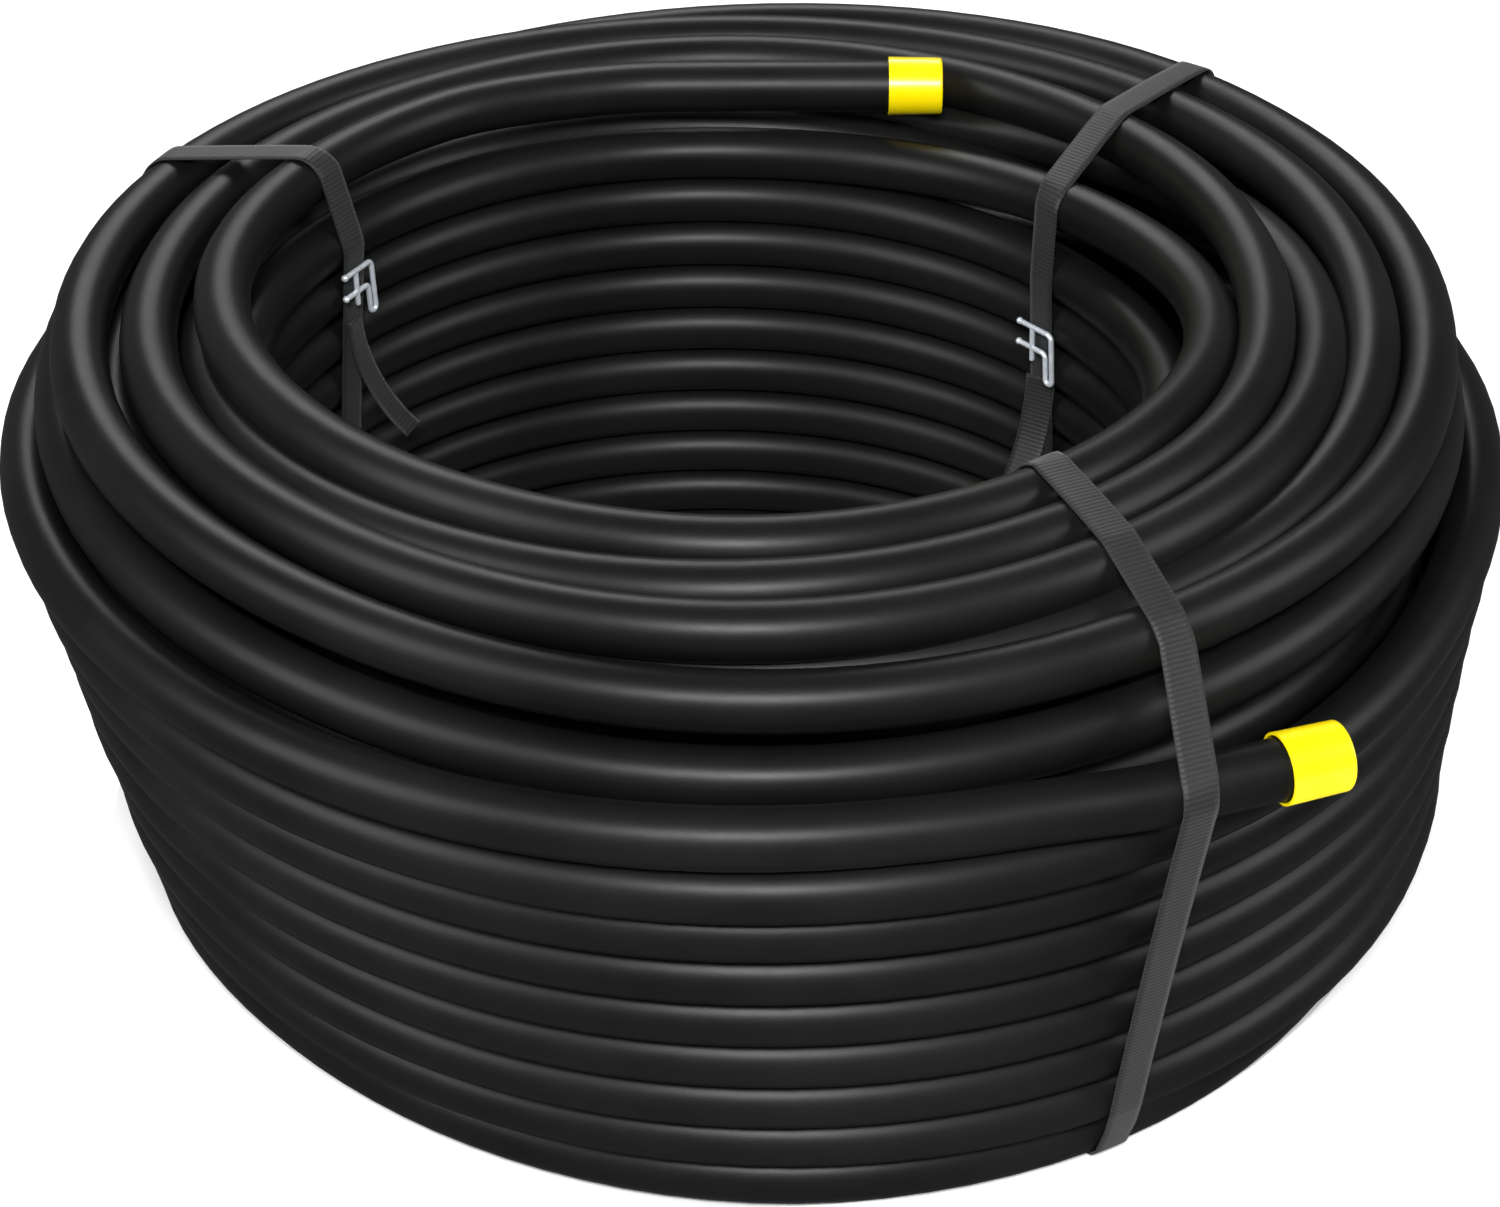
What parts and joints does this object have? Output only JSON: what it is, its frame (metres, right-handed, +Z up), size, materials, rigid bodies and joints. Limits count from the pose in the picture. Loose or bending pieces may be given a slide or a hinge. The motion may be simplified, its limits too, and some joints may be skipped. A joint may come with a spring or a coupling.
{
  "type": "coiled irrigation hose",
  "caption": "Coil of smooth black polyethylene irrigation hose, wound in layers, tied with woven straps and wire buckles, with push-on caps on both hose ends.",
  "frame": {"origin": "centre of the base, on the ground under the coil", "axes": "+Z up along the coil's axis; -Y is the front; the inner hose end points along +X"},
  "size_m": [0.699, 0.6989, 0.286],
  "materials": {
    "hose": "satin, extruded",
    "cap": "gloss",
    "strap": "ribbed weave",
    "wire": "bright galvanised"
  },
  "bodies": {
    "coil": {"hose_coil": "hose", "hose_inner_end": "hose", "hose_outer_end": "hose", "strap_left": "strap", "strap_right": "strap", "strap_front": "strap"},
    "inner_cap": {"inner_end_cap": "cap"},
    "outer_cap": {"outer_end_cap": "cap"},
    "left_buckle": {"buckle_left": "wire"},
    "right_buckle": {"buckle_right": "wire"},
    "front_buckle": {"buckle_front": "wire"}
  },
  "joints": [
    {"name": "inner_cap_pull", "type": "slide", "parent": "coil", "child": "inner_cap", "axis": [1, 0, 0], "range_m": [0, 0.03]},
    {"name": "outer_cap_pull", "type": "slide", "parent": "coil", "child": "outer_cap", "axis": [0.9424, 0.3338, 0.0207], "range_m": [0, 0.03]},
    {"name": "left_buckle_lift", "type": "hinge", "parent": "coil", "child": "left_buckle", "pos_m": [-0.18492, 0.09544, 0.229], "axis": [-0.4587, -0.8886, 0], "range_deg": [0, 30]},
    {"name": "right_buckle_lift", "type": "hinge", "parent": "coil", "child": "right_buckle", "pos_m": [0.13824, 0.11195, 0.188], "axis": [-0.6293, 0.7771, 0], "range_deg": [0, 30]},
    {"name": "front_buckle_lift", "type": "hinge", "parent": "coil", "child": "front_buckle", "pos_m": [0.09366, -0.15587, 0.2], "axis": [0.8572, 0.515, 0], "range_deg": [0, 30]}
  ]
}
